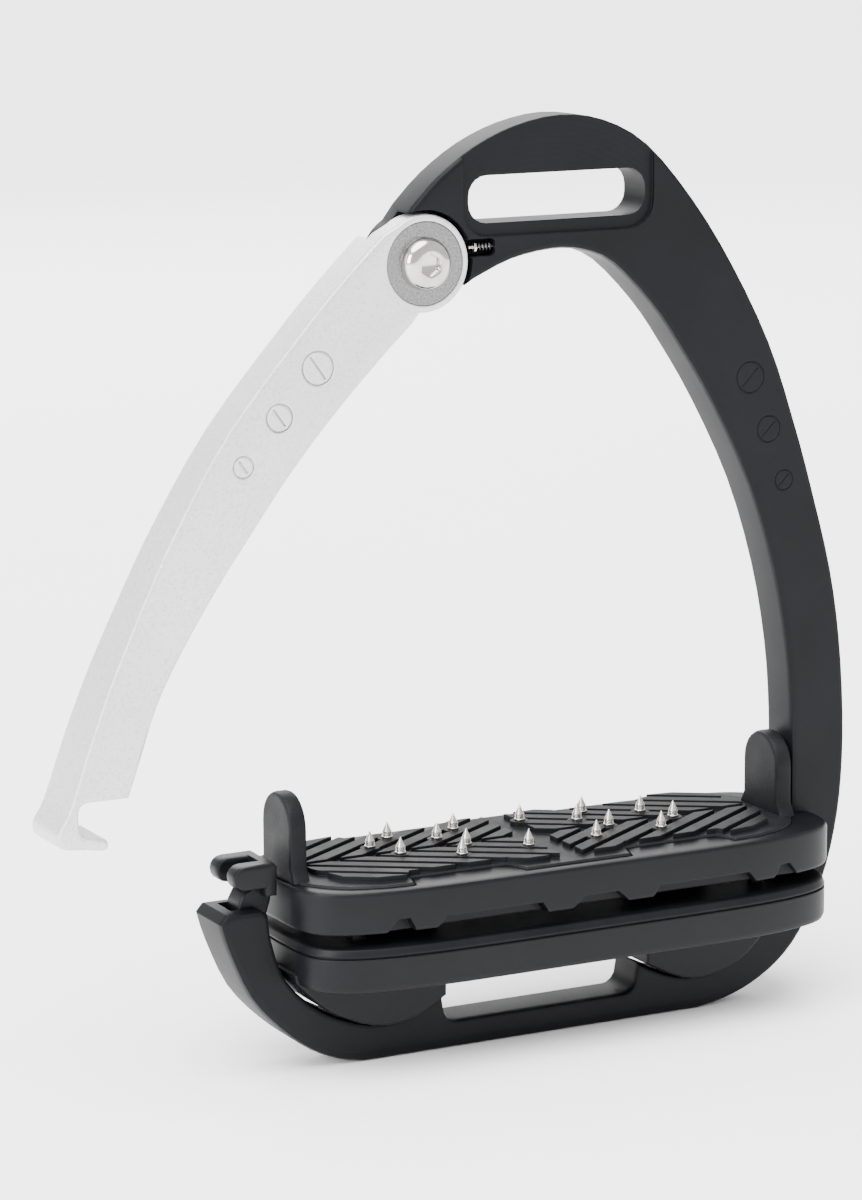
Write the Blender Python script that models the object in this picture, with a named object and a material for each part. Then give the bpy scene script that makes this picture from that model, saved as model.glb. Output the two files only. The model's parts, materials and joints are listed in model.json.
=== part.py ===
"""Safety stirrup iron: a one-piece frame, a hinged release arm, a latch and a sprung footbed.

Lengths in this file are millimetres and are scaled to metres when a mesh is made.
+X runs from the release arm to the fixed branch, +Y to the back and +Z up.
"""
import math

import bmesh
import bpy
from mathutils import Matrix, Vector

MM = 0.001
COLLECTION = "stirrup_iron"

# Frame
HALF_DEPTH = 5.15            # half the frame's thickness, front to back
END_HALF_DEPTH = 6.7         # the same at the flared latch end
FRAME_EDGE = 1.2             # rounding of the frame's long edges
SLOT_HALF_WIDTH = 20.0
SLOT_CENTRE_X = -0.5
SLOT_LOW = 167.1
SLOT_HIGH = 176.5
RECESS_DEPTH = 0.9           # milled step round the strap slot
ROUNDEL_DEPTH = 0.18         # engraved rings on the branches

# Hinge
HINGE_X = -30.5
HINGE_Z = 160.0
EYE_RADIUS = 9.7
TONGUE_RADIUS = 9.4
LAP_CLEAR_RADIUS = 10.5
ARM_CLEAR_RADIUS = 11.3      # hollow behind the arm's eye that clears the tongue
LAP_GAP = 0.2                # half the gap between the two laps
SLEEVE_RADIUS = 4.0
SLEEVE_BORE = 2.55
SCREW_RADIUS = 2.5
SCREW_HEAD_RADIUS = 5.2
WASHER_RADIUS = 8.2
WASHER_THICKNESS = 0.8
COUNTERBORE_DEPTH = 1.0

# Release arm
ARM_END_HALF_DEPTH = 7.0
ARM_EDGE = 0.8

# Footbed
TRAY_POWER = 4.66            # exponent of the rounded-box outline
TRAY_HALF_DEPTH = 22.0
UPPER_TRAY = {"x": -1.3, "half": 61.3, "low": 30.6, "high": 39.4}
LOWER_TRAY = {"x": -0.9, "half": 60.5, "low": 18.5, "high": 28.0}
TRAVEL_GAP = UPPER_TRAY["low"] - LOWER_TRAY["high"]
TREAD_X = -3.8
TREAD_Y = 0.8
TREAD_HALF = 58.0
TREAD_LOW = 38.4
TREAD_FLOOR = 39.9
TREAD_TOP = 41.0
CHEVRON_ANGLE = math.radians(33)
CHEVRON_PITCH = 8.0
CHEVRON_WIDTH = 2.7
TAB_HALF_THICKNESS = 1.9
TAB_HALF_WIDTH = 6.8
TAB_TOP = 56.6
TAB_X = (-59.9, 52.3)

# Studs, front to back rows: y, then the x of each stud
STUD_ROWS = (
    (-7.7, (-24.2, -9.0, 6.7, 22.0)),
    (-1.2, (-34.8, -19.9, 13.3, 28.6)),
    (6.0, (-38.1, -22.9, 9.8, 24.9)),
    (11.2, (-31.6, -16.4, -0.9, 13.8)),
)
STUD_SEAT_RADIUS = 2.0
STUD_RADIUS = 0.95
STUD_HEIGHT = 3.4

# Latch
PIVOT_X = -69.0
PIVOT_Z = 29.5
PRONG_Y = (-4.2, 4.0)
PRONG_HALF_THICKNESS = 2.2


# ---------------------------------------------------------------- outlines

def smooth(points, steps=3):
    """Points along a curve that passes through every given point."""
    out = []
    last = len(points) - 1
    for i in range(last):
        p0 = points[max(i - 1, 0)]
        p1 = points[i]
        p2 = points[i + 1]
        p3 = points[min(i + 2, last)]
        for k in range(steps):
            t = k / steps
            out.append(tuple(
                0.5 * (2 * b + (c - a) * t + (2 * a - 5 * b + 4 * c - d) * t * t
                       + (3 * b - a - 3 * c + d) * t ** 3)
                for a, b, c, d in zip(p0, p1, p2, p3)))
    out.append(tuple(points[last]))
    return out


def arc(cx, cz, radius, start, end, steps):
    """Points on a circle from one angle to another, in degrees."""
    out = []
    for k in range(steps + 1):
        angle = math.radians(start + (end - start) * k / steps)
        out.append((cx + radius * math.cos(angle), cz + radius * math.sin(angle)))
    return out


def rounded_box(cx, cz, half_x, half_z, radius, steps=5):
    """Outline of a rectangle with round corners."""
    out = []
    corners = ((1, 1, 0), (-1, 1, 90), (-1, -1, 180), (1, -1, 270))
    for sx, sz, start in corners:
        x = cx + sx * (half_x - radius)
        z = cz + sz * (half_z - radius)
        out += arc(x, z, radius, start, start + 90, steps)
    return out


def superellipse(cx, half_x, half_y, power, count=72):
    """Outline of a footbed tray seen from above."""
    out = []
    for k in range(count):
        angle = 2 * math.pi * k / count
        c = math.cos(angle)
        s = math.sin(angle)
        x = math.copysign(abs(c) ** (2 / power), c) * half_x
        y = math.copysign(abs(s) ** (2 / power), s) * half_y
        out.append((cx + x, y))
    return out


# ---------------------------------------------------------------- solids

def make_object(name, mesh_builder):
    """A new object in the part's collection from a filled bmesh, in metres."""
    bmesh.ops.remove_doubles(mesh_builder, verts=mesh_builder.verts, dist=1e-4)
    bmesh.ops.recalc_face_normals(mesh_builder, faces=mesh_builder.faces)
    bmesh.ops.scale(mesh_builder, vec=(MM, MM, MM), verts=mesh_builder.verts)
    mesh = bpy.data.meshes.new(name)
    mesh_builder.to_mesh(mesh)
    mesh_builder.free()
    obj = bpy.data.objects.new(name, mesh)
    bpy.data.collections[COLLECTION].objects.link(obj)
    return obj


def add_prism(mesh_builder, outline, low, high, plane, edge=0.0, segments=2):
    """A prism on an outline; plane "xz" runs it along Y and "xy" along Z."""
    rings = []
    for level in (low, high):
        ring = []
        for u, v in outline:
            spot = (u, level, v) if plane == "xz" else (u, v, level)
            ring.append(mesh_builder.verts.new(spot))
        rings.append(ring)
    caps = [mesh_builder.faces.new(rings[0]), mesh_builder.faces.new(rings[1])]
    count = len(outline)
    for k in range(count):
        n = (k + 1) % count
        mesh_builder.faces.new((rings[0][k], rings[0][n], rings[1][n], rings[1][k]))
    if edge > 0:
        rims = [e for face in caps for e in face.edges]
        bmesh.ops.recalc_face_normals(mesh_builder, faces=mesh_builder.faces)
        bmesh.ops.bevel(mesh_builder, geom=rims, offset=edge, segments=segments,
                        profile=0.5, affect="EDGES", clamp_overlap=False)


def prism(name, outline, low, high, plane="xz", edge=0.0, segments=2):
    mesh_builder = bmesh.new()
    add_prism(mesh_builder, outline, low, high, plane, edge, segments)
    return make_object(name, mesh_builder)


def add_lathe(mesh_builder, profile, place, count=32):
    """A solid of revolution; profile is (radius, height) up the axis, ends on the axis closed."""
    rings = []
    for radius, height in profile:
        if radius <= 0:
            rings.append([mesh_builder.verts.new(place @ Vector((0, 0, height)))])
            continue
        ring = []
        for k in range(count):
            angle = 2 * math.pi * k / count
            spot = Vector((radius * math.cos(angle), radius * math.sin(angle), height))
            ring.append(mesh_builder.verts.new(place @ spot))
        rings.append(ring)
    for a, b in zip(rings, rings[1:]):
        for k in range(count):
            n = (k + 1) % count
            if len(a) == 1:
                mesh_builder.faces.new((a[0], b[k], b[n]))
            elif len(b) == 1:
                mesh_builder.faces.new((a[k], b[0], a[n]))
            else:
                mesh_builder.faces.new((a[k], b[k], b[n], a[n]))


def place_at(x, y, z, axis):
    """Matrix that stands a lathe solid at a spot, along +X, +Y, -Y or +Z."""
    turns = {
        "+Z": Matrix.Identity(4),
        "+X": Matrix.Rotation(math.radians(90), 4, "Y"),
        "+Y": Matrix.Rotation(math.radians(-90), 4, "X"),
        "-Y": Matrix.Rotation(math.radians(90), 4, "X"),
    }
    return Matrix.Translation((x, y, z)) @ turns[axis]


def lathe(name, profile, x, y, z, axis, count=32):
    mesh_builder = bmesh.new()
    add_lathe(mesh_builder, profile, place_at(x, y, z, axis), count)
    return make_object(name, mesh_builder)


def cylinder(name, radius, length, x, y, z, axis, count=32):
    profile = ((0, 0), (radius, 0), (radius, length), (0, length))
    return lathe(name, profile, x, y, z, axis, count)


def tube_profile(inner, outer, low, high):
    """Closed ring profile for revolve_ring."""
    return ((inner, low), (outer, low), (outer, high), (inner, high))


def revolve_ring(name, profile, x, y, z, axis, count=48):
    """A ring of revolution; profile is a closed loop of (radius, height)."""
    mesh_builder = bmesh.new()
    place = place_at(x, y, z, axis)
    rings = []
    for radius, height in profile:
        ring = []
        for k in range(count):
            angle = 2 * math.pi * k / count
            spot = Vector((radius * math.cos(angle), radius * math.sin(angle), height))
            ring.append(mesh_builder.verts.new(place @ spot))
        rings.append(ring)
    for i, a in enumerate(rings):
        b = rings[(i + 1) % len(rings)]
        for k in range(count):
            n = (k + 1) % count
            mesh_builder.faces.new((a[k], b[k], b[n], a[n]))
    return make_object(name, mesh_builder)


def combine(target, tool, operation="DIFFERENCE"):
    """Cut, join or intersect target with tool, then drop tool."""
    modifier = target.modifiers.new("combine", "BOOLEAN")
    modifier.object = tool
    modifier.operation = operation
    modifier.solver = "EXACT"
    graph = bpy.context.evaluated_depsgraph_get()
    mesh = bpy.data.meshes.new_from_object(target.evaluated_get(graph))
    target.modifiers.clear()
    old = target.data
    target.data = mesh
    bpy.data.meshes.remove(old)
    spare = tool.data
    bpy.data.objects.remove(tool)
    bpy.data.meshes.remove(spare)


def reshape(obj, move):
    """Move every vertex with a function of its position in millimetres."""
    for vert in obj.data.vertices:
        x, y, z = move(vert.co.x / MM, vert.co.y / MM, vert.co.z / MM)
        vert.co = (x * MM, y * MM, z * MM)


# ---------------------------------------------------------------- frame

def frame_outline():
    """Front view of the frame, counter-clockwise from the top of the latch end."""
    latch_end = [(-66.3, 33.4), (-68.0, 34.6), (-75.4, 34.6), (-77.0, 32.8)]
    outside_low = smooth([(-77.0, 32.8), (-75.2, 27), (-70.6, 17), (-64, 9.6), (-57, 4.2),
                          (-50.5, 1.2), (-45, 0.0)])
    outside_right = smooth([(33, 0.0), (39.5, 1.1), (46, 3.4), (52.5, 7.4), (58, 13.4), (63.4, 24.0),
                            (66.4, 34.5), (67.9, 45.8), (68.1, 59.5), (66.9, 75.8), (64.4, 90.8),
                            (60, 107), (55, 123), (48.8, 139.5), (40, 155.8), (30.6, 169.5),
                            (20, 181), (10, 186.3), (0, 187.7), (-10, 186.0), (-19, 182.3),
                            (-27, 176.9), (-32.8, 171.3)])
    tongue = arc(HINGE_X, HINGE_Z, TONGUE_RADIUS, 120, 318, 22)
    arch = smooth([(-19.3, 156.3), (-11, 159.7), (-2, 161.2), (5, 160.6), (12, 157.6), (20.8, 149),
                   (27.5, 140), (35.7, 127), (44.3, 110), (50.3, 92), (53.7, 75), (55, 60),
                   (55.1, 45), (54.6, 31), (50.8, 19.5), (43.5, 11), (35.5, 7.7), (27.5, 7.7),
                   (18.3, 11.8)])
    window = arc(14.8, 8.7, 3.0, 0, -90, 4) + arc(-23.9, 8.7, 3.0, 270, 180, 4)
    bowl = smooth([(-27.4, 11.8), (-35, 8.2), (-44, 7.7), (-54.5, 12), (-62.2, 19), (-65.6, 28),
                   (-66.3, 33.4)])
    loop = latch_end[:3] + outside_low + outside_right + tongue + arch + window + bowl[:-1]
    return loop


def flare(x, z):
    """Half depth of the frame: it widens towards the latch end."""
    if x > -42 or z > 60:
        return 1.0
    share = min((-42 - x) / 30.0, 1.0)
    return 1.0 + (END_HALF_DEPTH / HALF_DEPTH - 1.0) * share * share * (3 - 2 * share)


def roundel_cutters(spots, slot_angle, front_y):
    """Ring grooves, each with a slot across it, sunk in a front face."""
    mesh_builder = bmesh.new()
    for x, z, radius in spots:
        place = place_at(x, front_y + ROUNDEL_DEPTH, z, "-Y")
        rings = []
        for r, h in tube_profile(radius - 0.35, radius, 0, 2):
            ring = []
            for k in range(20):
                angle = 2 * math.pi * k / 20
                spot = Vector((r * math.cos(angle), r * math.sin(angle), h))
                ring.append(mesh_builder.verts.new(place @ spot))
            rings.append(ring)
        for i, a in enumerate(rings):
            b = rings[(i + 1) % 4]
            for k in range(20):
                n = (k + 1) % 20
                mesh_builder.faces.new((a[k], b[k], b[n], a[n]))
        c = math.cos(math.radians(slot_angle))
        s = math.sin(math.radians(slot_angle))
        long = radius - 0.75
        slot = [(x + c * u - s * v, z + s * u + c * v)
                for u, v in ((-long, -0.2), (long, -0.2), (long, 0.2), (-long, 0.2))]
        add_prism(mesh_builder, slot, front_y - 2, front_y + ROUNDEL_DEPTH, "xz")
    return make_object("cutter", mesh_builder)


def build_frame():
    frame = prism("main_frame", frame_outline(), -HALF_DEPTH, HALF_DEPTH, edge=FRAME_EDGE)
    reshape(frame, lambda x, y, z: (x, y * flare(x, z), z))
    slot_z = (SLOT_LOW + SLOT_HIGH) / 2
    slot_half = (SLOT_HIGH - SLOT_LOW) / 2
    slot = rounded_box(SLOT_CENTRE_X, slot_z, SLOT_HALF_WIDTH, slot_half, 4.0)
    recess = rounded_box(SLOT_CENTRE_X, 177.5, SLOT_HALF_WIDTH + 1.6, 13.0, 5.5)
    for side in (-1, 1):
        lows = sorted((side * (HALF_DEPTH - RECESS_DEPTH), side * 9))
        combine(frame, prism("cutter", recess, lows[0], lows[1]))
    combine(frame, prism("cutter", slot, -9, 9))
    bore = ((0, -9), (LAP_CLEAR_RADIUS, -9), (LAP_CLEAR_RADIUS, LAP_GAP),
            (SLEEVE_RADIUS + 0.08, LAP_GAP), (SLEEVE_RADIUS + 0.08, HALF_DEPTH - 1.1),
            (6.1, HALF_DEPTH - 1.1), (6.1, 9), (0, 9))
    combine(frame, lathe("cutter", bore, HINGE_X, 0, HINGE_Z, "+Y", 48))
    pocket = rounded_box(-18.2, 162.5, 3.2, 1.75, 1.0, 4)
    combine(frame, prism("cutter", pocket, -9, -2.0))
    combine(frame, cylinder("cutter", 0.52, 4, -16.0, -3.7, 162.5, "+X", 16))
    latch_slot = rounded_box(-68.4, 33.0, 4.9, 8.5, 2.0, 3)
    combine(frame, prism("cutter", latch_slot, -3.3, 3.3))
    combine(frame, cylinder("cutter", 1.3, 11.2, PIVOT_X, -5.6, PIVOT_Z, "+Y", 24))
    for x in TRAY_SCREW_X:
        combine(frame, cylinder("cutter", 1.7, 12, x, 0, -1, "+Z", 24))
        combine(frame, cylinder("cutter", 3.3, 4.2, x, 0, -1, "+Z", 32))
    spots = ((44.0, 132.5, 3.4), (48.5, 121.5, 2.9), (52.3, 110.6, 2.3))
    combine(frame, roundel_cutters(spots, 45, -HALF_DEPTH))
    return frame


# ---------------------------------------------------------------- release arm

def arm_outline():
    """Front view of the arm in its open rest pose, counter-clockwise from the neck."""
    outside = smooth([(-39.6, 166.0), (-48.5, 157.5), (-58.8, 146.6), (-73.4, 129.5), (-84.6, 112),
                      (-91.3, 99.5), (-98.6, 84.5), (-103.8, 72), (-108.4, 59.5), (-110.6, 56)])
    hook = arc(-108.6, 54.3, 2.4, 150, 262, 4) + [(-104.5, 51.4), (-101.6, 50.9)]
    lip = arc(-101.4, 52.1, 1.2, 280, 420, 5) + [(-103.2, 54.0)]
    notch = arc(-104.3, 56.2, 2.0, 255, 180, 4) + arc(-104.5, 58.9, 1.8, 180, 90, 4)
    inside = smooth([(-95.9, 60.7), (-93.1, 68.3), (-89.4, 78.3), (-83.8, 88.3), (-76.3, 99.5),
                     (-68.8, 109.5), (-60, 120.8), (-50, 132), (-40, 142), (-33.5, 148.0)])
    eye = arc(HINGE_X, HINGE_Z, EYE_RADIUS, -96, 128, 34)
    return outside[:-1] + hook + lip + notch + inside + eye


def arm_widening(x, z):
    """Half depth of the arm over the frame's: it widens towards the hook."""
    share = min(max((150.0 - z) / 95.0, 0.0), 1.0)
    return 1.0 + (ARM_END_HALF_DEPTH / HALF_DEPTH - 1.0) * share * share * (3 - 2 * share)


def build_arm():
    arm = prism("release_arm", arm_outline(), -HALF_DEPTH, HALF_DEPTH, edge=ARM_EDGE)
    reshape(arm, lambda x, y, z: (x, y * arm_widening(x, z), z))
    face_y = -HALF_DEPTH + COUNTERBORE_DEPTH
    bore = ((0, -9), (WASHER_RADIUS + 0.15, -9), (WASHER_RADIUS + 0.15, face_y),
            (SLEEVE_RADIUS + 0.08, face_y), (SLEEVE_RADIUS + 0.08, -LAP_GAP),
            (ARM_CLEAR_RADIUS, -LAP_GAP), (ARM_CLEAR_RADIUS, 9), (0, 9))
    combine(arm, lathe("cutter", bore, HINGE_X, 0, HINGE_Z, "+Y", 48))
    for x, z, radius in ((-54.1, 141.1, 3.5), (-62.5, 132.0, 2.9), (-70.3, 123.0, 2.3)):
        front = -HALF_DEPTH * arm_widening(x, z)
        combine(arm, roundel_cutters(((x, z, radius),), -55, front))
    return arm


def build_hinge():
    """Screw, washer, sleeve nut, and the detent pin with its spring."""
    head_y = -HALF_DEPTH + 0.1
    head = [(0, 0.9), (1.9, 0.9), (2.05, 2.95), (2.9, 2.85), (3.9, 2.45), (4.7, 1.75),
            (5.15, 0.75), (SCREW_HEAD_RADIUS, 0.25), (SCREW_HEAD_RADIUS - 0.1, 0.0)]
    shank = [(SCREW_RADIUS, 0.0), (SCREW_RADIUS, -7.4), (SCREW_RADIUS - 0.5, -7.9), (0, -7.9)]
    lathe("hinge_screw", head + shank, HINGE_X, head_y, HINGE_Z, "-Y", 32)
    revolve_ring("hinge_washer", tube_profile(SCREW_RADIUS + 0.15, WASHER_RADIUS, 0, WASHER_THICKNESS),
                 HINGE_X, head_y + 0.05 + WASHER_THICKNESS, HINGE_Z, "-Y", 40)
    start = head_y + WASHER_THICKNESS + 0.15
    back = HALF_DEPTH - 0.15
    sleeve = ((0, 8.2), (SLEEVE_BORE, 8.2), (SLEEVE_BORE, 0), (SLEEVE_RADIUS, 0),
              (SLEEVE_RADIUS, back - 0.9 - start), (5.9, back - 0.9 - start),
              (5.9, back - 0.2 - start), (5.5, back - start), (0, back - start))
    lathe("hinge_sleeve", sleeve, HINGE_X, start, HINGE_Z, "+Y", 40)
    pin = ((0, 0), (0.35, 0), (0.45, 0.1), (0.45, 0.9), (1.3, 0.9), (1.3, 1.35), (0.45, 1.35),
           (0.45, 6.8), (0, 6.8))
    lathe("detent_pin", pin, -20.35, -3.7, 162.5, "+X", 14)
    coil("detent_spring", -18.85, -3.7, 162.5, "+X", 0.9, 0.18, 3.3, 4)


def coil(name, x, y, z, axis, radius, wire, length, turns):
    """A helical spring of round wire with flat cut ends."""
    mesh_builder = bmesh.new()
    place = place_at(x, y, z, axis)
    per_turn = 12
    sides = 5
    total = turns * per_turn
    rings = []
    for k in range(total + 1):
        angle = 2 * math.pi * k / per_turn
        height = wire + (length - 2 * wire) * k / total
        out = Vector((math.cos(angle), math.sin(angle), 0))
        ring = []
        for s in range(sides):
            turn = 2 * math.pi * s / sides
            reach = radius + wire * math.cos(turn)
            spot = out * reach + Vector((0, 0, height + wire * math.sin(turn)))
            ring.append(mesh_builder.verts.new(place @ spot))
        rings.append(ring)
    for a, b in zip(rings, rings[1:]):
        for s in range(sides):
            n = (s + 1) % sides
            mesh_builder.faces.new((a[s], a[n], b[n], b[s]))
    mesh_builder.faces.new(rings[0])
    mesh_builder.faces.new(rings[-1])
    return make_object(name, mesh_builder)


# ---------------------------------------------------------------- footbed

CASTELLATIONS = (
    (-6.8, -3.9, 3.9, 6.8, 33.2),
    (11.9, 13.5, 34.8, 37.0, 33.1),
    (41.2, 42.7, 45.2, 47.6, 33.5),
    (-37.0, -34.8, -13.5, -11.9, 33.1),
    (-47.6, -45.2, -42.7, -41.2, 33.5),
)
CASTELLATION_DEPTH = 3.6
CUSHION_X = (-36.0, 27.0)
CUSHION_RADIUS = 9.0
TRAY_SCREW_X = (-45.0, 31.5)
GUIDE_SPOTS = ((-50.0, -12.0), (-50.0, 12.0), (42.0, -12.0), (42.0, 12.0))


def castellation_cutters():
    """Trapezoid gaps along the lower edge of the upper tray, front and back."""
    mesh_builder = bmesh.new()
    low = UPPER_TRAY["low"]
    for x0, x1, x2, x3, top in CASTELLATIONS:
        slope0 = (x1 - x0) / (top - low)
        slope3 = (x3 - x2) / (top - low)
        outline = [(x0 - slope0, low - 1), (x3 + slope3, low - 1), (x2, top), (x1, top)]
        for side in (-1, 1):
            near = side * (TRAY_HALF_DEPTH - CASTELLATION_DEPTH)
            span = sorted((near, side * 26))
            add_prism(mesh_builder, outline, span[0], span[1], "xz")
    return make_object("cutter", mesh_builder)


def branch_notch(start_x):
    """Block that clears the fixed branch out of a tray's end."""
    outline = [(start_x, -5.6), (80, -5.6), (80, 5.6), (start_x, 5.6)]
    return prism("cutter", outline, 0, 60, "xy")


def tread_outline(inset=0.0):
    """Seen from above: wide lobes at the ends and the middle, narrower between."""
    wide = 20.3 - inset
    narrow = 15.0 - inset
    half = TREAD_HALF - inset
    quarter = [(12.0 - inset, wide), (13.6 - inset, narrow), (35.2 + inset, narrow),
               (36.8 + inset, wide - 0.4)]
    quarter += smooth([(42, wide - 0.8), (49.5, wide - 3.2), (54.6, wide - 7.6), (half - 0.6, 7.5),
                       (half, 3.0)], 3)
    loop = [(x, y) for x, y in quarter]
    loop += [(x, -y) for x, y in reversed(quarter)]
    loop += [(-x, -y) for x, y in quarter]
    loop += [(-x, y) for x, y in reversed(quarter)]
    loop.reverse()
    return [(TREAD_X + x, TREAD_Y + y) for x, y in loop]


def build_upper_tray():
    shape = superellipse(UPPER_TRAY["x"], UPPER_TRAY["half"], TRAY_HALF_DEPTH, TRAY_POWER)
    tray = prism("upper_tray", shape, UPPER_TRAY["low"], UPPER_TRAY["high"], "xy", edge=1.0)
    combine(tray, castellation_cutters())
    combine(tray, branch_notch(54.0))
    combine(tray, prism("cutter", tread_outline(-0.25), TREAD_LOW - 0.1, 45, "xy"))
    for x, y in GUIDE_SPOTS:
        combine(tray, cylinder("cutter", 1.75, 9.7, x, y, 27, "+Z", 24))
    return tray


def pod_outlines():
    """The two pods under the lower tray that sit in the frame's bowl."""
    left = [(-27.9, 21)] + smooth([(-27.9, 12.3), (-35, 8.5), (-44, 8.0), (-54.2, 12.4), (-61.6, 19.2)])
    left += [(-61.9, 21)]
    right = [(50.9, 21)] + smooth([(50.2, 19.2), (43.2, 11.4), (35.4, 8.0), (27.6, 8.0), (18.8, 12.2)])
    right += [(18.8, 21)]
    return left, right


def build_lower_tray():
    shape = superellipse(LOWER_TRAY["x"], LOWER_TRAY["half"], TRAY_HALF_DEPTH - 0.1, TRAY_POWER)
    tray = prism("lower_tray", shape, LOWER_TRAY["low"], LOWER_TRAY["high"], "xy", edge=1.6, segments=2)
    for outline in pod_outlines():
        combine(tray, prism("cutter", outline, -8.2, 8.2, edge=0.8), "UNION")
    combine(tray, branch_notch(49.9))
    groove = superellipse(LOWER_TRAY["x"], LOWER_TRAY["half"] - 0.5, TRAY_HALF_DEPTH - 0.6, TRAY_POWER)
    outer = superellipse(LOWER_TRAY["x"], LOWER_TRAY["half"] + 5, TRAY_HALF_DEPTH + 5, TRAY_POWER)
    ring = prism("cutter", outer, 25.6, 26.1, "xy")
    combine(ring, prism("inner", groove, 20, 30, "xy"))
    combine(tray, ring)
    for x, y in GUIDE_SPOTS:
        combine(tray, cylinder("cutter", 1.6, 12, x, y, 22, "+Z", 24))
    for x in TRAY_SCREW_X:
        combine(tray, cylinder("cutter", 1.6, 13.2, x, 0, 2, "+Z", 24))
    return tray


def build_footbed_hardware():
    """Guide pins, rubber cushions and the screws through the frame's foot."""
    for k, (x, y) in enumerate(GUIDE_SPOTS):
        pin = ((0, 0), (1.5, 0), (1.5, 11.8), (1.2, 12.1), (0, 12.1))
        lathe("guide_pin_%d" % (k + 1), pin, x, y, 22.1, "+Z", 24)
    for k, x in enumerate(CUSHION_X):
        height = TRAVEL_GAP - 0.1
        ring = ((3.0, 0), (CUSHION_RADIUS - 0.4, 0), (CUSHION_RADIUS, height / 2),
                (CUSHION_RADIUS - 0.4, height), (3.0, height))
        revolve_ring("cushion_%d" % (k + 1), ring, x, 0, LOWER_TRAY["high"] + 0.05, "+Z", 40)
    for k, x in enumerate(TRAY_SCREW_X):
        screw = ((0, 1.4), (1.3, 1.4), (1.35, 0), (2.9, 0), (3.1, 0.2), (3.1, 2.4), (1.5, 2.4),
                 (1.5, 14.0), (0, 14.0))
        lathe("tray_screw_%d" % (k + 1), screw, x, 0, 0.7, "+Z", 32)


def chevron_bars(side):
    """Raised bars on one half of the tread that point away from its middle."""
    mesh_builder = bmesh.new()
    lean = 1 / math.tan(CHEVRON_ANGLE)
    half = CHEVRON_WIDTH / 2 / math.sin(CHEVRON_ANGLE)
    for row in (-1, 1):
        for k in range(8):
            apex = 10.0 + k * CHEVRON_PITCH
            outline = []
            for across, shift in ((0.9, -half), (0.9, half), (22.0, half), (22.0, -half)):
                x = TREAD_X + side * (apex + shift - across * lean)
                outline.append((x, TREAD_Y + row * across))
            add_prism(mesh_builder, outline, TREAD_FLOOR - 0.6, TREAD_TOP, "xy")
    bars = make_object("bars", mesh_builder)
    combine(bars, prism("area", half_outline(side), 30, 50, "xy"), "INTERSECT")
    return bars


def half_outline(side):
    """Area that the bars of one half of the tread may fill."""
    back = [(2.6, 17.2), (11.6, 17.2), (13.4, 14.6), (35.4, 14.6), (37.2, 17.2), (43, 16.4),
            (49, 12.5), (52.0, 4.0)]
    front = [(x, -y) for x, y in reversed(back)]
    return [(TREAD_X + side * x, TREAD_Y + y) for x, y in back + front]


def add_tab(mesh_builder, x):
    """Upright end tab with a round top and a wider foot."""
    foot = TAB_HALF_WIDTH + 1.6
    outline = [(-foot, TREAD_FLOOR - 0.4), (foot, TREAD_FLOOR - 0.4), (foot - 0.4, TREAD_FLOOR + 0.5),
               (TAB_HALF_WIDTH, TREAD_FLOOR + 2.6)]
    outline += arc(0, TAB_TOP - TAB_HALF_WIDTH, TAB_HALF_WIDTH, 0, 180, 14)
    outline += [(-TAB_HALF_WIDTH, TREAD_FLOOR + 2.6), (-foot + 0.4, TREAD_FLOOR + 0.5)]
    verts = []
    for level in (x - TAB_HALF_THICKNESS, x + TAB_HALF_THICKNESS):
        verts.append([mesh_builder.verts.new((level, v, z)) for v, z in outline])
    caps = [mesh_builder.faces.new(ring) for ring in verts]
    count = len(outline)
    for k in range(count):
        n = (k + 1) % count
        mesh_builder.faces.new((verts[0][k], verts[0][n], verts[1][n], verts[1][k]))
    bmesh.ops.recalc_face_normals(mesh_builder, faces=mesh_builder.faces)
    rims = [e for face in caps for e in face.edges if max(v.co.z for v in e.verts) > TREAD_FLOOR]
    bmesh.ops.bevel(mesh_builder, geom=rims, offset=0.9, segments=2, profile=0.5,
                    affect="EDGES", clamp_overlap=True)


def build_tread():
    tread = prism("tread_pad", tread_outline(), TREAD_LOW, TREAD_FLOOR, "xy", edge=0.4, segments=1)
    for side in (-1, 1):
        combine(tread, chevron_bars(side), "UNION")
    seats = bmesh.new()
    for y, row in STUD_ROWS:
        for x in row:
            profile = ((0, 0), (STUD_SEAT_RADIUS, 0), (STUD_SEAT_RADIUS, 1.75), (0, 1.75))
            add_lathe(seats, profile, place_at(x, y, TREAD_FLOOR - 0.6, "+Z"), 12)
    combine(tread, make_object("seats", seats), "UNION")
    holes = bmesh.new()
    for y, row in STUD_ROWS:
        for x in row:
            profile = ((0, 0), (0.8, 0), (0.8, 4), (0, 4))
            add_lathe(holes, profile, place_at(x, y, TREAD_LOW + 0.5, "+Z"), 8)
    combine(tread, make_object("holes", holes))
    tabs = bmesh.new()
    for x in TAB_X:
        add_tab(tabs, x)
    combine(tread, make_object("tabs", tabs), "UNION")
    return tread


def build_studs():
    """Sixteen pointed grip studs, each on its own seat of the tread."""
    number = 1
    seat = TREAD_FLOOR - 0.6 + 1.75 + 0.03
    profile = ((0, -1.7), (0.65, -1.7), (0.65, 0), (1.15, 0), (1.15, 0.4), (STUD_RADIUS, 0.5),
               (STUD_RADIUS, 1.3), (0.14, STUD_HEIGHT - 0.1), (0, STUD_HEIGHT))
    for y, row in STUD_ROWS:
        for x in row:
            lathe("stud_%02d" % number, profile, x, y, seat, "+Z", 12)
            number += 1


# ---------------------------------------------------------------- latch

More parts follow.
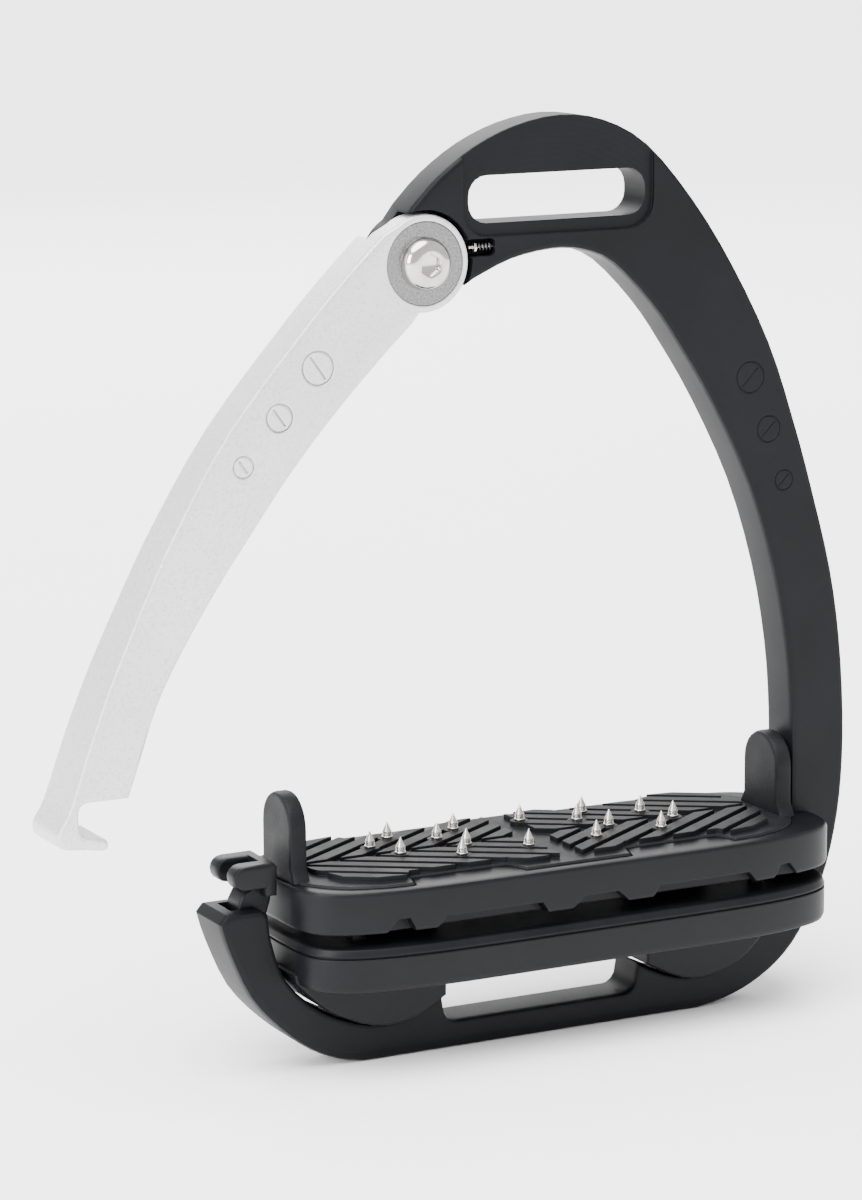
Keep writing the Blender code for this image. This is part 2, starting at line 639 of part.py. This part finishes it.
def build_latch():
    """Forked lever on a cross pin in the frame's end, with its return spring."""
    stem = [(-71.0, 29.5), (-70.4, 27.9), (-69.0, 27.3), (-67.6, 27.9), (-66.6, 29.0), (-64.5, 35.4),
            (-64.4, 36.2), (-64.4, 43.0), (-65.2, 43.7), (-66.9, 43.7), (-66.9, 40.5), (-68.0, 38.7),
            (-70.2, 37.6), (-71.3, 35.6), (-71.6, 32.2)]
    lever = prism("latch_lever", stem, -2.9, 2.9, edge=0.35, segments=1)
    web = [(-66.9, 37.2), (-64.4, 37.2), (-64.4, 43.2), (-65.1, 43.9), (-66.9, 43.9)]
    combine(lever, prism("cutter", web, -6.2, 6.0, edge=0.6), "UNION")
    prong = [(-65.0, 38.9), (-65.0, 43.9)] + arc(-71.4, 41.4, 2.5, 90, 270, 8)
    for y in PRONG_Y:
        low = y - PRONG_HALF_THICKNESS
        high = y + PRONG_HALF_THICKNESS
        combine(lever, prism("cutter", prong, low, high, edge=0.9), "UNION")
    combine(lever, cylinder("cutter", 1.3, 12, PIVOT_X, -6, PIVOT_Z, "+Y", 24))
    pin = ((0, 0), (1.0, 0), (1.2, 0.2), (1.2, 10.8), (1.0, 11.0), (0, 11.0))
    lathe("latch_pin", pin, PIVOT_X, -5.5, PIVOT_Z, "+Y", 24)
    coil("latch_spring", -66.9, 0.0, 25.0, "+Z", 0.9, 0.2, 2.6, 3)


def main():
    for obj in list(bpy.data.objects):
        bpy.data.objects.remove(obj)
    collection = bpy.data.collections.new(COLLECTION)
    bpy.context.scene.collection.children.link(collection)
    build_frame()
    build_arm()
    build_hinge()
    build_lower_tray()
    build_upper_tray()
    build_tread()
    build_studs()
    build_footbed_hardware()
    build_latch()


main()
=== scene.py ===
"""Looks of a safety stirrup iron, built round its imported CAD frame.

The object stands on its foot, front towards -Y, and every length is in metres.
CAD pieces are copied with rounded edges; the hinge screw and the studs are made anew.
"""
import json
import math

import bmesh
import bpy
from mathutils import Matrix, Vector


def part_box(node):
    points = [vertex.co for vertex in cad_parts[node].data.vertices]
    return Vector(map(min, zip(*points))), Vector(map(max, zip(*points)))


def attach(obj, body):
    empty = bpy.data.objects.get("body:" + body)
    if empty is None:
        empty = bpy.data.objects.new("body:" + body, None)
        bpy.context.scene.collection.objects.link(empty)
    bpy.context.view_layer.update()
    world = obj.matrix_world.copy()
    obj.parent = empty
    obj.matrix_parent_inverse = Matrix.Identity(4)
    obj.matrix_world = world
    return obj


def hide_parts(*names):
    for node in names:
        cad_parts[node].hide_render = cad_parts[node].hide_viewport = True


MM = 0.001

# Camera: where it stands round the object, and how long its lens is
CAMERA_SPOT = (-0.40087, -0.72709, 0.25389)
CAMERA_TARGET = (-0.02699, 0.0, 0.09195)
CAMERA_ROLL = math.radians(-0.305)
CAMERA_LENS = 125.26

# Colours, linear
BLACK_METAL = (0.0020, 0.0022, 0.0030)
BLACK_METAL_DULL = (0.0042, 0.0044, 0.0056)
SILVER = (0.68, 0.68, 0.685)
SILVER_DULL = (0.60, 0.60, 0.61)
SILVER_GRAIN = (0.50, 0.50, 0.51)
POLYMER = (0.0024, 0.0026, 0.0034)
POLYMER_DULL = (0.0048, 0.0050, 0.0062)
RUBBER = (0.0030, 0.0032, 0.0040)
RUBBER_DULL = (0.0062, 0.0064, 0.0076)
STEEL = (0.66, 0.62, 0.58)
STEEL_DULL = (0.44, 0.42, 0.39)
WASHER = (0.26, 0.26, 0.265)
WASHER_DULL = (0.12, 0.12, 0.125)
# Spring wire: a near-black grey that is painted shade of the dark pocket it sits in, not the steel's own
# tone
WIRE_PAINTED_SHADE = (0.10, 0.10, 0.10)

# Hinge screw and studs, in millimetres
SCREW_SPOT = (-30.5, -5.05, 160.0)
SCREW_HEAD_RADIUS = 5.2
SCREW_SHANK_RADIUS = 2.5
SOCKET_FLATS = 3.9
SOCKET_RIM = 0.55
STUD_HEIGHT = 3.4
STUD_CONE_FOOT = 1.36
STUD_CONE_HEIGHT = 1.98

# Studio
WORLD_STRENGTH = 1.3
SKY_POWER = 9.0
SKY_SPREAD = math.radians(60)
SKY_TILT = (math.radians(12), math.radians(-14), 0)
LEFT_POWER = 26
BACK_POWER = 16
FLOOR_HALF = 40.0
FLOOR_DROP = 0.00005
FLOOR_TONE = (0.93, 0.93, 0.93)
FLOOR_TONE_LIGHT = (0.96, 0.96, 0.96)


# ---------------------------------------------------------------- materials

class Nodes:
    """Adds shader nodes to one material and links them."""

    def __init__(self, name):
        self.material = bpy.data.materials.new(name)
        self.material.use_nodes = True
        self.tree = self.material.node_tree
        self.shader = self.tree.nodes["Principled BSDF"]
        self.place = self.add("ShaderNodeTexCoord")

    def add(self, kind, **values):
        node = self.tree.nodes.new(kind)
        for key, value in values.items():
            setattr(node, key, value)
        return node

    def link(self, source, target):
        self.tree.links.new(source, target)

    def noise(self, scale, detail=2.0, roughness=0.5):
        """Noise in the object's own space; scale is in features per metre."""
        node = self.add("ShaderNodeTexNoise")
        node.inputs["Scale"].default_value = scale
        node.inputs["Detail"].default_value = detail
        node.inputs["Roughness"].default_value = roughness
        self.link(self.place.outputs["Object"], node.inputs["Vector"])
        return node

    def spread(self, source, low, high, low_out=0.0, high_out=1.0):
        """Stretch a value from one range to another."""
        node = self.add("ShaderNodeMapRange")
        node.inputs["From Min"].default_value = low
        node.inputs["From Max"].default_value = high
        node.inputs["To Min"].default_value = low_out
        node.inputs["To Max"].default_value = high_out
        self.link(source, node.inputs["Value"])
        return node.outputs["Result"]

    def mix(self, share, first, second):
        """Blend two colours; each may be a colour or a socket."""
        node = self.add("ShaderNodeMix", data_type="RGBA")
        self.link(share, node.inputs["Factor"])
        for value, socket in ((first, node.inputs["A"]), (second, node.inputs["B"])):
            if isinstance(value, tuple):
                socket.default_value = (*value, 1.0)
            else:
                self.link(value, socket)
        return node.outputs["Result"]


def surface(name, colour, dull, metallic, roughness, grain, depth, blotch=60.0, edge=0.3,
            rough_spread=0.10, specular=0.5):
    """A material with mottled colour, uneven gloss, a fine grain and rounded edges.

    grain and blotch are in features per metre, depth and edge in millimetres.
    """
    nodes = Nodes(name)
    shader = nodes.shader
    cloud = nodes.noise(blotch, 5.0, 0.6).outputs["Fac"]
    fine = nodes.noise(grain, 3.0, 0.65).outputs["Fac"]
    share = nodes.spread(cloud, 0.32, 0.68)
    nodes.link(nodes.mix(share, colour, dull), shader.inputs["Base Color"])
    uneven = nodes.spread(cloud, 0.3, 0.7, roughness - rough_spread / 2, roughness + rough_spread / 2)
    nodes.link(uneven, shader.inputs["Roughness"])
    shader.inputs["Metallic"].default_value = metallic
    shader.inputs["Specular IOR Level"].default_value = specular
    round_edge = nodes.add("ShaderNodeBevel", samples=6)
    round_edge.inputs["Radius"].default_value = edge * MM
    bump = nodes.add("ShaderNodeBump")
    bump.inputs["Strength"].default_value = 1.0
    bump.inputs["Distance"].default_value = depth * MM
    nodes.link(fine, bump.inputs["Height"])
    nodes.link(round_edge.outputs["Normal"], bump.inputs["Normal"])
    nodes.link(bump.outputs["Normal"], shader.inputs["Normal"])
    return nodes


def frame_material():
    """Satin black anodised aluminium, with faint cutter arcs in the step round the slot."""
    nodes = surface("frame_black_anodised", BLACK_METAL, BLACK_METAL_DULL, 0.0, 0.46, 5200, 0.012,
                    blotch=45, edge=0.35, rough_spread=0.08, specular=0.12)
    add_cutter_arcs(nodes)
    return nodes.material


def add_cutter_arcs(nodes):
    """Ring marks from the milling cutter, only in the step round the strap slot."""
    split = nodes.add("ShaderNodeSeparateXYZ")
    nodes.link(nodes.place.outputs["Object"], split.inputs["Vector"])
    shift = nodes.add("ShaderNodeMapping")
    shift.inputs["Location"].default_value = (0.003, 0, -0.150)
    nodes.link(nodes.place.outputs["Object"], shift.inputs["Vector"])
    rings = nodes.add("ShaderNodeTexWave", wave_type="RINGS", rings_direction="Y")
    rings.inputs["Scale"].default_value = 260
    rings.inputs["Distortion"].default_value = 1.2
    rings.inputs["Detail"].default_value = 2
    nodes.link(shift.outputs["Vector"], rings.inputs["Vector"])
    high = nodes.spread(split.outputs["Z"], 0.1655, 0.167)
    wide = nodes.add("ShaderNodeMath", operation="ABSOLUTE")
    nodes.link(split.outputs["X"], wide.inputs[0])
    near = nodes.spread(wide.outputs["Value"], 0.0225, 0.0215)
    both = nodes.add("ShaderNodeMath", operation="MULTIPLY")
    nodes.link(high, both.inputs[0])
    nodes.link(near, both.inputs[1])
    height = nodes.add("ShaderNodeMath", operation="MULTIPLY")
    nodes.link(both.outputs["Value"], height.inputs[0])
    nodes.link(rings.outputs["Fac"], height.inputs[1])
    bump = nodes.add("ShaderNodeBump")
    bump.inputs["Strength"].default_value = 0.3
    bump.inputs["Distance"].default_value = 0.03 * MM
    nodes.link(height.outputs["Value"], bump.inputs["Height"])
    old = nodes.shader.inputs["Normal"].links[0].from_socket
    nodes.link(old, bump.inputs["Normal"])
    nodes.link(bump.outputs["Normal"], nodes.shader.inputs["Normal"])


def arm_material():
    """Blasted silver aluminium: a fine sparkle of bright and dull grains."""
    nodes = surface("arm_silver_blasted", SILVER, SILVER_DULL, 0.55, 0.40, 3600, 0.030,
                    blotch=30, edge=0.5, rough_spread=0.08)
    grains = nodes.add("ShaderNodeTexVoronoi")
    grains.inputs["Scale"].default_value = 2600
    nodes.link(nodes.place.outputs["Object"], grains.inputs["Vector"])
    spark = nodes.spread(grains.outputs["Color"], 0.55, 0.95)
    base = nodes.shader.inputs["Base Color"].links[0].from_socket
    nodes.link(nodes.mix(spark, base, SILVER_GRAIN), nodes.shader.inputs["Base Color"])
    return nodes.material


def make_materials():
    """Every finish, by the record's slot name."""
    return {
        "frame_black": frame_material(),
        "arm_silver": arm_material(),
        "tray_polymer": surface("tray_moulded_polymer", POLYMER, POLYMER_DULL, 0.0, 0.42, 4200, 0.014,
                                blotch=35, edge=0.45, rough_spread=0.12, specular=0.14).material,
        "tread_rubber": surface("tread_grained_rubber", RUBBER, RUBBER_DULL, 0.0, 0.52, 2300, 0.050,
                                blotch=90, edge=0.25, rough_spread=0.14, specular=0.12).material,
        "lever_black": surface("lever_satin_black", BLACK_METAL, BLACK_METAL_DULL, 0.0, 0.38, 4800,
                               0.010, edge=0.35, specular=0.16).material,
        "screw_steel": surface("screw_polished_steel", STEEL, STEEL_DULL, 1.0, 0.14, 1500, 0.002,
                               blotch=120, edge=0.12, rough_spread=0.06).material,
        "stud_steel": surface("stud_polished_steel", STEEL, STEEL_DULL, 1.0, 0.20, 2500, 0.004,
                              blotch=300, edge=0.08, rough_spread=0.08).material,
        "washer_steel": surface("washer_speckled_steel", WASHER, WASHER_DULL, 1.0, 0.34, 2600, 0.020,
                                blotch=2400, edge=0.15).material,
        # The spring is real steel, but its near-black colour is painted shade of its pocket, darkened
        # further towards black metal
        "spring_steel": surface("spring_wire_painted_shade", WIRE_PAINTED_SHADE, BLACK_METAL, 1.0, 0.40, 3000, 0.004,
                                blotch=500, edge=0.05).material,
        "cushion_rubber": surface("cushion_soft_rubber", RUBBER, BLACK_METAL, 0.0, 0.7, 2600, 0.03,
                                  blotch=80, edge=0.3).material,
    }


# ---------------------------------------------------------------- pieces

def smooth_mesh(mesh, sharp_degrees):
    """Weld the mesh and shade it smooth except across sharp edges."""
    work = bmesh.new()
    work.from_mesh(mesh)
    bmesh.ops.remove_doubles(work, verts=work.verts, dist=1e-6)
    bmesh.ops.dissolve_limit(work, angle_limit=math.radians(0.6), verts=work.verts, edges=work.edges)
    limit = math.radians(sharp_degrees)
    for face in work.faces:
        face.smooth = True
    for edge in work.edges:
        if len(edge.link_faces) == 2:
            edge.smooth = edge.calc_face_angle(0) < limit
    work.to_mesh(mesh)
    work.free()


def add_piece(name, mesh, body, node, slot, materials):
    """Show a mesh in place of a CAD node, moving with its body."""
    piece = bpy.data.objects.new(name, mesh)
    bpy.context.scene.collection.objects.link(piece)
    mesh.materials.clear()
    mesh.materials.append(materials[slot])
    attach(piece, body)
    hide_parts(node)
    return piece


def dress_node(node, body, slot, materials, sharp_degrees=38):
    """A smooth-shaded copy of a CAD node."""
    mesh = frame["nodes"][node].data.copy()
    smooth_mesh(mesh, sharp_degrees)
    piece = add_piece(node + "_skin", mesh, body, node, slot, materials)
    normals = piece.modifiers.new("even_normals", "WEIGHTED_NORMAL")
    normals.keep_sharp = True
    return piece


def turned(profile, count, place, shape=None):
    """A turned solid; profile is (radius, height, hex share) in millimetres."""
    work = bmesh.new()
    rings = []
    for radius, height, share in profile:
        if radius <= 0:
            rings.append([work.verts.new(place @ Vector((0, 0, height * MM)))])
            continue
        ring = []
        for k in range(count):
            angle = 2 * math.pi * k / count
            reach = radius * (1 + share * (shape(angle) - 1)) if shape else radius
            spot = Vector((reach * math.cos(angle), reach * math.sin(angle), height)) * MM
            ring.append(work.verts.new(place @ spot))
        rings.append(ring)
    for a, b in zip(rings, rings[1:]):
        for k in range(count):
            n = (k + 1) % count
            if len(a) == 1:
                work.faces.new((a[0], b[k], b[n]))
            elif len(b) == 1:
                work.faces.new((a[k], b[0], a[n]))
            else:
                work.faces.new((a[k], b[k], b[n], a[n]))
    bmesh.ops.recalc_face_normals(work, faces=work.faces)
    mesh = bpy.data.meshes.new("turned")
    work.to_mesh(mesh)
    work.free()
    return mesh


def hexagon(angle):
    """Distance to a hexagon's side over its flat's, at an angle."""
    part = (angle + math.pi / 6) % (math.pi / 3) - math.pi / 6
    return 1 / math.cos(part)


def dress_screw(materials):
    """Button-head screw with a hexagon socket."""
    flat = SOCKET_FLATS / 2
    profile = [(0, 0.75, 0), (flat * 0.8, 0.85, 1), (flat, 1.1, 1), (flat, 2.62, 1), (flat + 0.28, 2.82, 1),
               (flat + SOCKET_RIM, 2.84, 0)]
    for k in range(1, 13):
        share = k / 12
        reach = SCREW_HEAD_RADIUS - flat - SOCKET_RIM
        radius = flat + SOCKET_RIM + reach * math.sin(share * math.pi / 2)
        profile.append((radius, 0.35 + 2.49 * math.cos(share * math.pi / 2) ** 0.85, 0))
    profile += [(SCREW_HEAD_RADIUS, 0.18, 0), (SCREW_HEAD_RADIUS - 0.15, 0.0, 0)]
    profile += [(SCREW_SHANK_RADIUS, 0.0, 0), (SCREW_SHANK_RADIUS, -7.4, 0), (2.0, -7.9, 0), (0, -7.9, 0)]
    spot = Vector(SCREW_SPOT) * MM
    place = Matrix.Translation(spot) @ Matrix.Rotation(math.radians(90), 4, "X")
    mesh = turned(profile, 96, place, hexagon)
    smooth_mesh(mesh, 40)
    add_piece("hinge_screw_skin", mesh, "frame", "hinge_screw", "screw_steel", materials)


def stud_profile():
    """Flange, three thread ridges and a slightly hollow cone."""
    profile = [(0, -1.7, 0), (0.62, -1.7, 0), (0.62, 0, 0), (1.05, 0.0, 0), (1.15, 0.08, 0),
               (1.15, 0.36, 0), (1.05, 0.46, 0), (0.86, 0.5, 0)]
    for k in range(3):
        base = 0.52 + 0.27 * k
        profile += [(0.82, base, 0), (0.97, base + 0.10, 0), (0.97, base + 0.16, 0), (0.82, base + 0.25, 0)]
    for k in range(9):
        share = k / 8
        radius = 0.98 * (1 - share) ** 1.12 + 0.09 * share
        profile.append((radius, STUD_CONE_FOOT + STUD_CONE_HEIGHT * share, 0))
    profile.append((0, STUD_HEIGHT, 0))
    return profile


def dress_studs(materials):
    """One bright pointed stud in place of each CAD stud."""
    names = sorted(n for n in frame["nodes"] if n.startswith("stud_"))
    for name in names:
        low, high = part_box(name)
        x = (low[0] + high[0]) / 2
        y = (low[1] + high[1]) / 2
        place = Matrix.Translation((x, y, high[2] - STUD_HEIGHT * MM))
        mesh = turned(stud_profile(), 28, place)
        smooth_mesh(mesh, 35)
        add_piece(name + "_skin", mesh, "footbed", name, "stud_steel", materials)


def dress_everything(materials):
    """Every CAD node gets its finish from the record's slot for it."""
    slots = {row["node"]: row["material_slot"] for row in frame["record"]["subparts"]}
    bodies = frame["record"]["behaviour"]["bodies"]
    for body, members in bodies.items():
        for node in members:
            if node == "hinge_screw" or node.startswith("stud_"):
                continue
            dress_node(node, body, slots[node], materials)
    dress_screw(materials)
    dress_studs(materials)


# ---------------------------------------------------------------- studio

def add_floor():
    """Large plain pale sheet under the object."""
    nodes = Nodes("floor_paper")
    cloud = nodes.noise(6, 3).outputs["Fac"]
    nodes.link(nodes.mix(cloud, FLOOR_TONE, FLOOR_TONE_LIGHT), nodes.shader.inputs["Base Color"])
    nodes.shader.inputs["Roughness"].default_value = 0.9
    mesh = bpy.data.meshes.new("floor")
    work = bmesh.new()
    bmesh.ops.create_grid(work, x_segments=8, y_segments=8, size=FLOOR_HALF)
    work.to_mesh(mesh)
    work.free()
    floor = bpy.data.objects.new("floor", mesh)
    floor.location.z = -FLOOR_DROP
    mesh.materials.append(nodes.material)
    bpy.context.scene.collection.objects.link(floor)


def add_softbox(name, spot, size, power, target=(0.0, 0.0, 0.09)):
    """Square area light that faces the target."""
    data = bpy.data.lights.new(name, "AREA")
    data.size = size
    data.energy = power
    light = bpy.data.objects.new(name, data)
    light.location = spot
    aim = Vector(target) - Vector(spot)
    light.rotation_mode = "QUATERNION"
    light.rotation_quaternion = aim.to_track_quat("-Z", "Y")
    bpy.context.scene.collection.objects.link(light)


def add_sky_light():
    """Very soft light from high above that whitens the whole floor evenly."""
    data = bpy.data.lights.new("light_sky", "SUN")
    data.energy = SKY_POWER
    data.angle = SKY_SPREAD
    light = bpy.data.objects.new("light_sky", data)
    light.rotation_euler = SKY_TILT
    bpy.context.scene.collection.objects.link(light)


def add_studio():
    """Bright surround, a soft light from above, one from the left and one from behind."""
    world = bpy.data.worlds.new("studio")
    world.use_nodes = True
    background = world.node_tree.nodes["Background"]
    background.inputs["Color"].default_value = (1, 1, 1, 1)
    background.inputs["Strength"].default_value = WORLD_STRENGTH
    bpy.context.scene.world = world
    add_sky_light()
    add_softbox("light_left", (-1.3, -0.5, 0.6), 0.7, LEFT_POWER)
    add_softbox("light_back", (0.3, 1.3, 0.9), 1.0, BACK_POWER)


def add_camera():
    """Camera in front of the object, to its left and a little above its top."""
    data = bpy.data.cameras.new("camera")
    data.sensor_width = 36
    data.lens = CAMERA_LENS
    camera = bpy.data.objects.new("camera", data)
    aim = Vector(CAMERA_TARGET) - Vector(CAMERA_SPOT)
    turn = aim.to_track_quat("-Z", "Y").to_matrix().to_4x4()
    camera.matrix_world = Matrix.Translation(CAMERA_SPOT) @ turn @ Matrix.Rotation(CAMERA_ROLL, 4, "Z")
    bpy.context.scene.collection.objects.link(camera)
    bpy.context.scene.camera = camera


with open("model.json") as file:
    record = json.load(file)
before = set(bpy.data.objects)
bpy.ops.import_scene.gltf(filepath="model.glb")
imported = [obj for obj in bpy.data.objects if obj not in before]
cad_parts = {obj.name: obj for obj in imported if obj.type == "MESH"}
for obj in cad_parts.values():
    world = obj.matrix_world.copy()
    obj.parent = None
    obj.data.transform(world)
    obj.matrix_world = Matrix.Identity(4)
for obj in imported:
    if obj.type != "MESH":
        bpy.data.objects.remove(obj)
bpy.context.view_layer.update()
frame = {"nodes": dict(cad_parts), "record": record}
add_camera()
add_studio()
add_floor()
dress_everything(make_materials())
